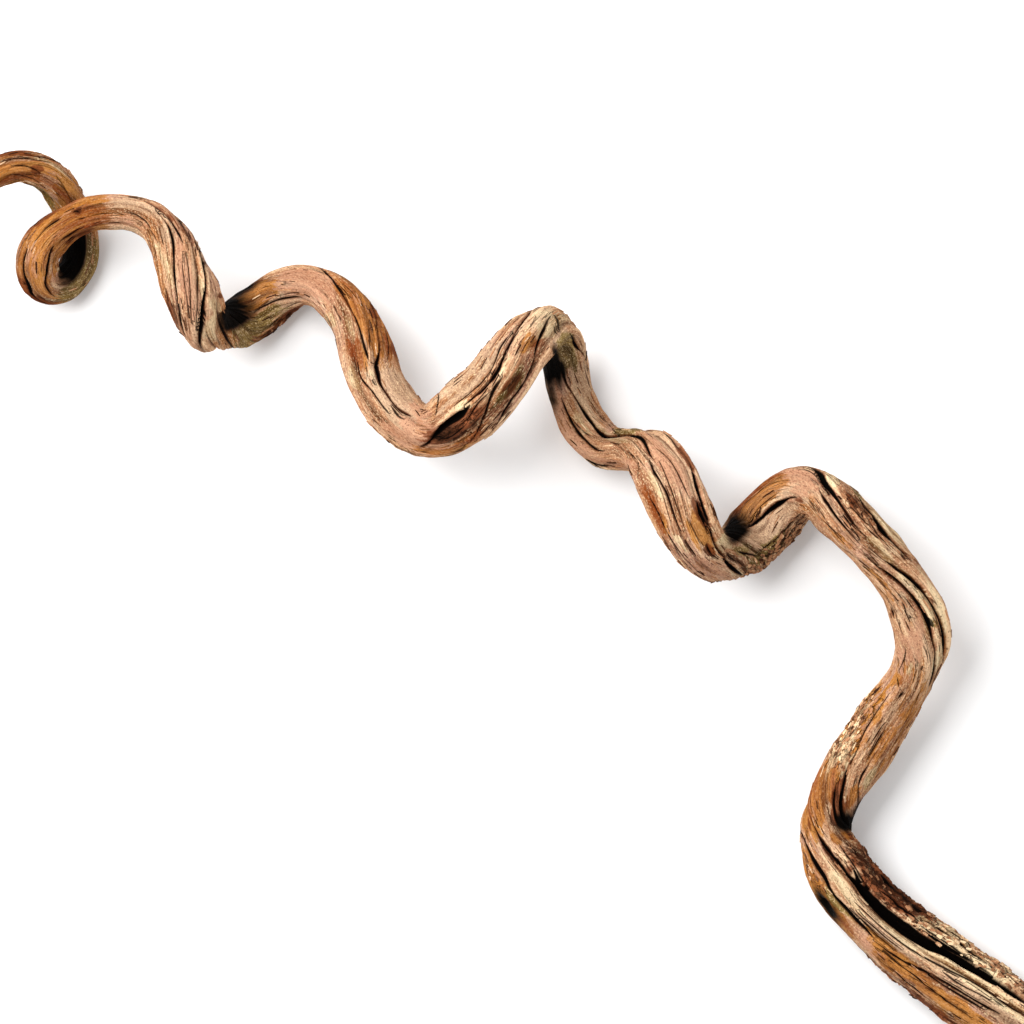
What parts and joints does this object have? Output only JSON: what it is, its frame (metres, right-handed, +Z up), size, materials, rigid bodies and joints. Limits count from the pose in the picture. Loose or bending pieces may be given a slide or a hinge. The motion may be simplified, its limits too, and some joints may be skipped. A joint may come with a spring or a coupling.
{
  "type": "curly liana",
  "caption": "Dried woody liana stem grown in corkscrew turns, with lobed, fissured bark and a saw cut at each end, lying on the ground.",
  "frame": {"origin": "middle of the underside of the stem's box, on the ground it lies on", "axes": "+X along the stem's longest extent, from the thin end towards the thick end; +Y towards the thin end's side; +Z up from the ground"},
  "size_m": [0.575, 0.4676, 0.0776],
  "materials": {
    "liana_bark": "dry, weathered bark and bare wood, pinkish tan with ochre, cream and grey-olive patches, dark fissures along the grain"
  },
  "bodies": {
    "root": {"liana_stem": "liana_bark"}
  },
  "joints": []
}
